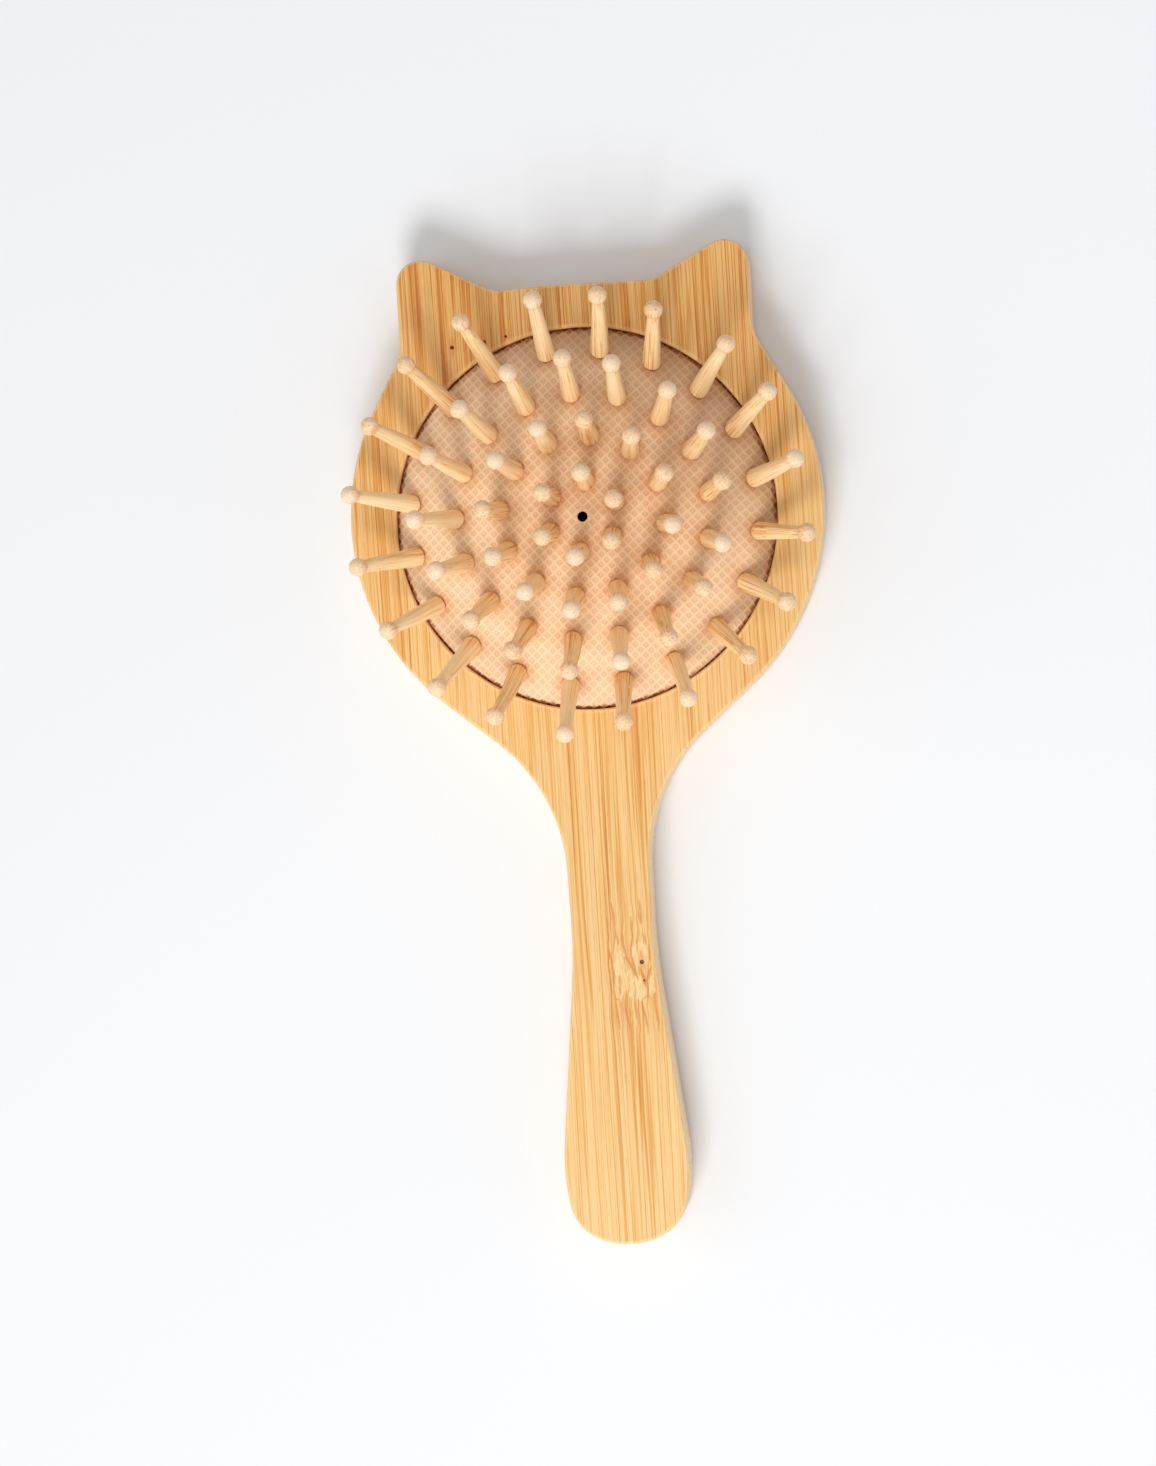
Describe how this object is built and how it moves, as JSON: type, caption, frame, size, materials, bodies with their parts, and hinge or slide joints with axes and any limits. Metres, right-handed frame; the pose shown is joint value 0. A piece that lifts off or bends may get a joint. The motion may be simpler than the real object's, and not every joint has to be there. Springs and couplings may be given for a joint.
{
  "type": "paddle brush",
  "caption": "Small bamboo paddle hair brush with two ears on its round head, a domed rubber air cushion and ball-tipped bamboo pins that rock on it.",
  "frame": {"origin": "on the flat back face, under the middle of the cushion", "axes": "+Y along the brush towards the ears, +Z out of the back towards the pins' tips, +X to the right when seen from the pins with the ears up"},
  "size_m": [0.0948, 0.1991, 0.0413],
  "materials": {
    "bamboo": "sanded bamboo with fine parallel grain, clear matt seal",
    "rubber": "matt peach rubber with a fine woven surface",
    "pin_bamboo": "bare polished bamboo, paler than the body"
  },
  "bodies": {
    "brush": {"bamboo_body": "bamboo", "rubber_cushion": "rubber"},
    "outer_01": {"pin_outer_01": "pin_bamboo"},
    "outer_02": {"pin_outer_02": "pin_bamboo"},
    "outer_03": {"pin_outer_03": "pin_bamboo"},
    "outer_04": {"pin_outer_04": "pin_bamboo"},
    "outer_05": {"pin_outer_05": "pin_bamboo"},
    "outer_06": {"pin_outer_06": "pin_bamboo"},
    "outer_07": {"pin_outer_07": "pin_bamboo"},
    "outer_08": {"pin_outer_08": "pin_bamboo"},
    "outer_09": {"pin_outer_09": "pin_bamboo"},
    "outer_10": {"pin_outer_10": "pin_bamboo"},
    "outer_11": {"pin_outer_11": "pin_bamboo"},
    "outer_12": {"pin_outer_12": "pin_bamboo"},
    "outer_13": {"pin_outer_13": "pin_bamboo"},
    "outer_14": {"pin_outer_14": "pin_bamboo"},
    "outer_15": {"pin_outer_15": "pin_bamboo"},
    "outer_16": {"pin_outer_16": "pin_bamboo"},
    "outer_17": {"pin_outer_17": "pin_bamboo"},
    "outer_18": {"pin_outer_18": "pin_bamboo"},
    "outer_19": {"pin_outer_19": "pin_bamboo"},
    "outer_20": {"pin_outer_20": "pin_bamboo"},
    "second_01": {"pin_second_01": "pin_bamboo"},
    "second_02": {"pin_second_02": "pin_bamboo"},
    "second_03": {"pin_second_03": "pin_bamboo"},
    "second_04": {"pin_second_04": "pin_bamboo"},
    "second_05": {"pin_second_05": "pin_bamboo"},
    "second_06": {"pin_second_06": "pin_bamboo"},
    "second_07": {"pin_second_07": "pin_bamboo"},
    "second_08": {"pin_second_08": "pin_bamboo"},
    "second_09": {"pin_second_09": "pin_bamboo"},
    "second_10": {"pin_second_10": "pin_bamboo"},
    "second_11": {"pin_second_11": "pin_bamboo"},
    "second_12": {"pin_second_12": "pin_bamboo"},
    "second_13": {"pin_second_13": "pin_bamboo"},
    "second_14": {"pin_second_14": "pin_bamboo"},
    "second_15": {"pin_second_15": "pin_bamboo"},
    "second_16": {"pin_second_16": "pin_bamboo"},
    "second_17": {"pin_second_17": "pin_bamboo"},
    "third_01": {"pin_third_01": "pin_bamboo"},
    "third_02": {"pin_third_02": "pin_bamboo"},
    "third_03": {"pin_third_03": "pin_bamboo"},
    "third_04": {"pin_third_04": "pin_bamboo"},
    "third_05": {"pin_third_05": "pin_bamboo"},
    "third_06": {"pin_third_06": "pin_bamboo"},
    "third_07": {"pin_third_07": "pin_bamboo"},
    "third_08": {"pin_third_08": "pin_bamboo"},
    "third_09": {"pin_third_09": "pin_bamboo"},
    "third_10": {"pin_third_10": "pin_bamboo"},
    "third_11": {"pin_third_11": "pin_bamboo"},
    "third_12": {"pin_third_12": "pin_bamboo"},
    "inner_01": {"pin_inner_01": "pin_bamboo"},
    "inner_02": {"pin_inner_02": "pin_bamboo"},
    "inner_03": {"pin_inner_03": "pin_bamboo"},
    "inner_04": {"pin_inner_04": "pin_bamboo"},
    "inner_05": {"pin_inner_05": "pin_bamboo"},
    "inner_06": {"pin_inner_06": "pin_bamboo"}
  },
  "joints": [
    {"name": "outer_01_rock", "type": "hinge", "parent": "brush", "child": "outer_01", "pos_m": [-0.0057, 0.03205, 0.01476], "axis": [0.0383, 0.8057, -0.5911], "range_deg": [-10, 10], "stiffness_Nm_per_rad": 0.03},
    {"name": "outer_02_rock", "type": "hinge", "parent": "brush", "child": "outer_02", "pos_m": [0.00488, 0.03218, 0.01476], "axis": [-0.0522, 0.8083, -0.5864], "range_deg": [-10, 10], "stiffness_Nm_per_rad": 0.03},
    {"name": "outer_03_rock", "type": "hinge", "parent": "brush", "child": "outer_03", "pos_m": [0.01498, 0.02915, 0.01462], "axis": [-0.0753, 0.829, -0.5542], "range_deg": [-10, 10], "stiffness_Nm_per_rad": 0.03},
    {"name": "outer_04_rock", "type": "hinge", "parent": "brush", "child": "outer_04", "pos_m": [0.02362, 0.02327, 0.01437], "axis": [-0.2058, 0.8867, -0.414], "range_deg": [-10, 10], "stiffness_Nm_per_rad": 0.03},
    {"name": "outer_05_rock", "type": "hinge", "parent": "brush", "child": "outer_05", "pos_m": [0.02994, 0.01511, 0.01412], "axis": [-0.1861, 0.9285, -0.3214], "range_deg": [-10, 10], "stiffness_Nm_per_rad": 0.03},
    {"name": "outer_06_rock", "type": "hinge", "parent": "brush", "child": "outer_06", "pos_m": [0.03333, 0.00548, 0.01395], "axis": [-0.0846, 0.9875, -0.1331], "range_deg": [-10, 10], "stiffness_Nm_per_rad": 0.03},
    {"name": "outer_07_rock", "type": "hinge", "parent": "brush", "child": "outer_07", "pos_m": [0.03346, -0.00469, 0.01395], "axis": [0.0508, 0.9964, 0.0672], "range_deg": [-10, 10], "stiffness_Nm_per_rad": 0.03},
    {"name": "outer_08_rock", "type": "hinge", "parent": "brush", "child": "outer_08", "pos_m": [0.03031, -0.0144, 0.0141], "axis": [0.1524, 0.959, 0.2391], "range_deg": [-10, 10], "stiffness_Nm_per_rad": 0.03},
    {"name": "outer_09_rock", "type": "hinge", "parent": "brush", "child": "outer_09", "pos_m": [0.0242, -0.02271, 0.01435], "axis": [0.1631, 0.9264, 0.3394], "range_deg": [-10, 10], "stiffness_Nm_per_rad": 0.03},
    {"name": "outer_10_rock", "type": "hinge", "parent": "brush", "child": "outer_10", "pos_m": [0.01572, -0.02879, 0.0146], "axis": [0.0994, 0.8878, 0.4494], "range_deg": [-10, 10], "stiffness_Nm_per_rad": 0.03},
    {"name": "outer_11_rock", "type": "hinge", "parent": "brush", "child": "outer_11", "pos_m": [0.0057, -0.03205, 0.01476], "axis": [0.0193, 0.8709, 0.4911], "range_deg": [-10, 10], "stiffness_Nm_per_rad": 0.03},
    {"name": "outer_12_rock", "type": "hinge", "parent": "brush", "child": "outer_12", "pos_m": [-0.00488, -0.03218, 0.01476], "axis": [-0.0248, 0.8151, 0.5787], "range_deg": [-10, 10], "stiffness_Nm_per_rad": 0.03},
    {"name": "outer_13_rock", "type": "hinge", "parent": "brush", "child": "outer_13", "pos_m": [-0.01498, -0.02915, 0.01462], "axis": [-0.1319, 0.8605, 0.4922], "range_deg": [-10, 10], "stiffness_Nm_per_rad": 0.03},
    {"name": "outer_14_rock", "type": "hinge", "parent": "brush", "child": "outer_14", "pos_m": [-0.02362, -0.02327, 0.01437], "axis": [-0.2054, 0.8739, 0.4406], "range_deg": [-10, 10], "stiffness_Nm_per_rad": 0.03},
    {"name": "outer_15_rock", "type": "hinge", "parent": "brush", "child": "outer_15", "pos_m": [-0.02994, -0.01511, 0.01412], "axis": [-0.1506, 0.96, 0.2362], "range_deg": [-10, 10], "stiffness_Nm_per_rad": 0.03},
    {"name": "outer_16_rock", "type": "hinge", "parent": "brush", "child": "outer_16", "pos_m": [-0.03333, -0.00548, 0.01395], "axis": [-0.0646, 0.9947, 0.0799], "range_deg": [-10, 10], "stiffness_Nm_per_rad": 0.03},
    {"name": "outer_17_rock", "type": "hinge", "parent": "brush", "child": "outer_17", "pos_m": [-0.03346, 0.00469, 0.01395], "axis": [0.0854, 0.9918, -0.0954], "range_deg": [-10, 10], "stiffness_Nm_per_rad": 0.03},
    {"name": "outer_18_rock", "type": "hinge", "parent": "brush", "child": "outer_18", "pos_m": [-0.03031, 0.0144, 0.0141], "axis": [0.1979, 0.9445, -0.2621], "range_deg": [-10, 10], "stiffness_Nm_per_rad": 0.03},
    {"name": "outer_19_rock", "type": "hinge", "parent": "brush", "child": "outer_19", "pos_m": [-0.0242, 0.02271, 0.01435], "axis": [0.2736, 0.8616, -0.4275], "range_deg": [-10, 10], "stiffness_Nm_per_rad": 0.03},
    {"name": "outer_20_rock", "type": "hinge", "parent": "brush", "child": "outer_20", "pos_m": [-0.01572, 0.02879, 0.0146], "axis": [0.2238, 0.8052, -0.5491], "range_deg": [-10, 10], "stiffness_Nm_per_rad": 0.03},
    {"name": "second_01_rock", "type": "hinge", "parent": "brush", "child": "second_01", "pos_m": [-0.001, 0.02399, 0.01887], "axis": [-0.001, 0.9338, -0.3577], "range_deg": [-10, 10], "stiffness_Nm_per_rad": 0.03},
    {"name": "second_02_rock", "type": "hinge", "parent": "brush", "child": "second_02", "pos_m": [0.00808, 0.02272, 0.01884], "axis": [-0.0096, 0.9418, -0.3359], "range_deg": [-10, 10], "stiffness_Nm_per_rad": 0.03},
    {"name": "second_03_rock", "type": "hinge", "parent": "brush", "child": "second_03", "pos_m": [0.01606, 0.01837, 0.01873], "axis": [-0.0443, 0.9684, -0.2456], "range_deg": [-10, 10], "stiffness_Nm_per_rad": 0.03},
    {"name": "second_04_rock", "type": "hinge", "parent": "brush", "child": "second_04", "pos_m": [0.02188, 0.01155, 0.01861], "axis": [-0.0412, 0.9859, -0.1624], "range_deg": [-10, 10], "stiffness_Nm_per_rad": 0.03},
    {"name": "second_05_rock", "type": "hinge", "parent": "brush", "child": "second_05", "pos_m": [0.02474, 0.00317, 0.01854], "axis": [-0.0181, 0.9967, -0.0792], "range_deg": [-10, 10], "stiffness_Nm_per_rad": 0.03},
    {"name": "second_06_rock", "type": "hinge", "parent": "brush", "child": "second_06", "pos_m": [0.02426, -0.00564, 0.01855], "axis": [0.0219, 0.9947, 0.1005], "range_deg": [-10, 10], "stiffness_Nm_per_rad": 0.03},
    {"name": "second_07_rock", "type": "hinge", "parent": "brush", "child": "second_07", "pos_m": [0.02051, -0.01368, 0.01864], "axis": [0.0232, 0.9923, 0.1217], "range_deg": [-10, 10], "stiffness_Nm_per_rad": 0.03},
    {"name": "second_08_rock", "type": "hinge", "parent": "brush", "child": "second_08", "pos_m": [0.01398, -0.01989, 0.01877], "axis": [0.0416, 0.9577, 0.2847], "range_deg": [-10, 10], "stiffness_Nm_per_rad": 0.03},
    {"name": "second_09_rock", "type": "hinge", "parent": "brush", "child": "second_09", "pos_m": [0.00557, -0.0234, 0.01885], "axis": [0.0252, 0.9485, 0.3158], "range_deg": [-10, 10], "stiffness_Nm_per_rad": 0.03},
    {"name": "second_10_rock", "type": "hinge", "parent": "brush", "child": "second_10", "pos_m": [-0.0036, -0.02376, 0.01886], "axis": [0.006, 0.9317, 0.3633], "range_deg": [-10, 10], "stiffness_Nm_per_rad": 0.03},
    {"name": "second_11_rock", "type": "hinge", "parent": "brush", "child": "second_11", "pos_m": [-0.01228, -0.0209, 0.01879], "axis": [-0.0269, 0.9635, 0.2665], "range_deg": [-10, 10], "stiffness_Nm_per_rad": 0.03},
    {"name": "second_12_rock", "type": "hinge", "parent": "brush", "child": "second_12", "pos_m": [-0.0193, -0.01522, 0.01867], "axis": [-0.0338, 0.9742, 0.2233], "range_deg": [-10, 10], "stiffness_Nm_per_rad": 0.03},
    {"name": "second_13_rock", "type": "hinge", "parent": "brush", "child": "second_13", "pos_m": [-0.02371, -0.00749, 0.01856], "axis": [-0.0236, 0.9954, 0.0927], "range_deg": [-10, 10], "stiffness_Nm_per_rad": 0.03},
    {"name": "second_14_rock", "type": "hinge", "parent": "brush", "child": "second_14", "pos_m": [-0.02492, 0.00125, 0.01853], "axis": [-0.006, 0.9999, 0.0146], "range_deg": [-10, 10], "stiffness_Nm_per_rad": 0.03},
    {"name": "second_15_rock", "type": "hinge", "parent": "brush", "child": "second_15", "pos_m": [-0.02277, 0.00983, 0.01859], "axis": [0.0601, 0.9817, -0.1809], "range_deg": [-10, 10], "stiffness_Nm_per_rad": 0.03},
    {"name": "second_16_rock", "type": "hinge", "parent": "brush", "child": "second_16", "pos_m": [-0.01755, 0.01707, 0.0187], "axis": [0.0641, 0.9627, -0.263], "range_deg": [-10, 10], "stiffness_Nm_per_rad": 0.03},
    {"name": "second_17_rock", "type": "hinge", "parent": "brush", "child": "second_17", "pos_m": [-0.00995, 0.02202, 0.01882], "axis": [0.0376, 0.9367, -0.348], "range_deg": [-10, 10], "stiffness_Nm_per_rad": 0.03},
    {"name": "third_01_rock", "type": "hinge", "parent": "brush", "child": "third_01", "pos_m": [0.00238, 0.0155, 0.02084], "axis": [-0.0031, 0.9899, -0.1421], "range_deg": [-10, 10], "stiffness_Nm_per_rad": 0.03},
    {"name": "third_02_rock", "type": "hinge", "parent": "brush", "child": "third_02", "pos_m": [0.01012, 0.01228, 0.02081], "axis": [-0.0108, 0.9935, -0.1136], "range_deg": [-10, 10], "stiffness_Nm_per_rad": 0.03},
    {"name": "third_03_rock", "type": "hinge", "parent": "brush", "child": "third_03", "pos_m": [0.01515, 0.00577, 0.02076], "axis": [-0.0078, 0.9985, -0.054], "range_deg": [-10, 10], "stiffness_Nm_per_rad": 0.03},
    {"name": "third_04_rock", "type": "hinge", "parent": "brush", "child": "third_04", "pos_m": [0.01612, -0.00229, 0.02075], "axis": [0.0083, 0.9984, 0.0557], "range_deg": [-10, 10], "stiffness_Nm_per_rad": 0.03},
    {"name": "third_05_rock", "type": "hinge", "parent": "brush", "child": "third_05", "pos_m": [0.01277, -0.00973, 0.02079], "axis": [0.0118, 0.9929, 0.1184], "range_deg": [-10, 10], "stiffness_Nm_per_rad": 0.03},
    {"name": "third_06_rock", "type": "hinge", "parent": "brush", "child": "third_06", "pos_m": [0.006, -0.01457, 0.02083], "axis": [0.0115, 0.9861, 0.1656], "range_deg": [-10, 10], "stiffness_Nm_per_rad": 0.03},
    {"name": "third_07_rock", "type": "hinge", "parent": "brush", "child": "third_07", "pos_m": [-0.00238, -0.0155, 0.02084], "axis": [0.0046, 0.986, 0.1668], "range_deg": [-10, 10], "stiffness_Nm_per_rad": 0.03},
    {"name": "third_08_rock", "type": "hinge", "parent": "brush", "child": "third_08", "pos_m": [-0.01012, -0.01228, 0.02081], "axis": [-0.0038, 0.9927, 0.1206], "range_deg": [-10, 10], "stiffness_Nm_per_rad": 0.03},
    {"name": "third_09_rock", "type": "hinge", "parent": "brush", "child": "third_09", "pos_m": [-0.01515, -0.00577, 0.02076], "axis": [-0.0065, 0.9964, 0.0847], "range_deg": [-10, 10], "stiffness_Nm_per_rad": 0.03},
    {"name": "third_10_rock", "type": "hinge", "parent": "brush", "child": "third_10", "pos_m": [-0.01612, 0.00229, 0.02075], "axis": [-0.0021, 0.9998, 0.02], "range_deg": [-10, 10], "stiffness_Nm_per_rad": 0.03},
    {"name": "third_11_rock", "type": "hinge", "parent": "brush", "child": "third_11", "pos_m": [-0.01277, 0.00973, 0.02079], "axis": [0.011, 0.9958, -0.0906], "range_deg": [-10, 10], "stiffness_Nm_per_rad": 0.03},
    {"name": "third_12_rock", "type": "hinge", "parent": "brush", "child": "third_12", "pos_m": [-0.006, 0.01457, 0.02083], "axis": [0.0022, 0.9913, -0.1314], "range_deg": [-10, 10], "stiffness_Nm_per_rad": 0.03},
    {"name": "inner_01_rock", "type": "hinge", "parent": "brush", "child": "inner_01", "pos_m": [0.00088, 0.00682, 0.02154], "axis": [-0.0025, 0.9983, -0.0575], "range_deg": [-10, 10], "stiffness_Nm_per_rad": 0.03},
    {"name": "inner_02_rock", "type": "hinge", "parent": "brush", "child": "inner_02", "pos_m": [0.00659, 0.00267, 0.02153], "axis": [0.0008, 0.9999, 0.0146], "range_deg": [-10, 10], "stiffness_Nm_per_rad": 0.03},
    {"name": "inner_03_rock", "type": "hinge", "parent": "brush", "child": "inner_03", "pos_m": [0.0057, -0.00415, 0.02153], "axis": [0.0051, 0.9963, 0.0861], "range_deg": [-10, 10], "stiffness_Nm_per_rad": 0.03},
    {"name": "inner_04_rock", "type": "hinge", "parent": "brush", "child": "inner_04", "pos_m": [-0.00088, -0.00682, 0.02154], "axis": [0.002, 0.9965, 0.0837], "range_deg": [-10, 10], "stiffness_Nm_per_rad": 0.03},
    {"name": "inner_05_rock", "type": "hinge", "parent": "brush", "child": "inner_05", "pos_m": [-0.00659, -0.00267, 0.02153], "axis": [-0.0001, 0.9971, 0.0757], "range_deg": [-10, 10], "stiffness_Nm_per_rad": 0.03},
    {"name": "inner_06_rock", "type": "hinge", "parent": "brush", "child": "inner_06", "pos_m": [-0.0057, 0.00415, 0.02153], "axis": [0.0004, 0.9999, -0.0171], "range_deg": [-10, 10], "stiffness_Nm_per_rad": 0.03}
  ]
}
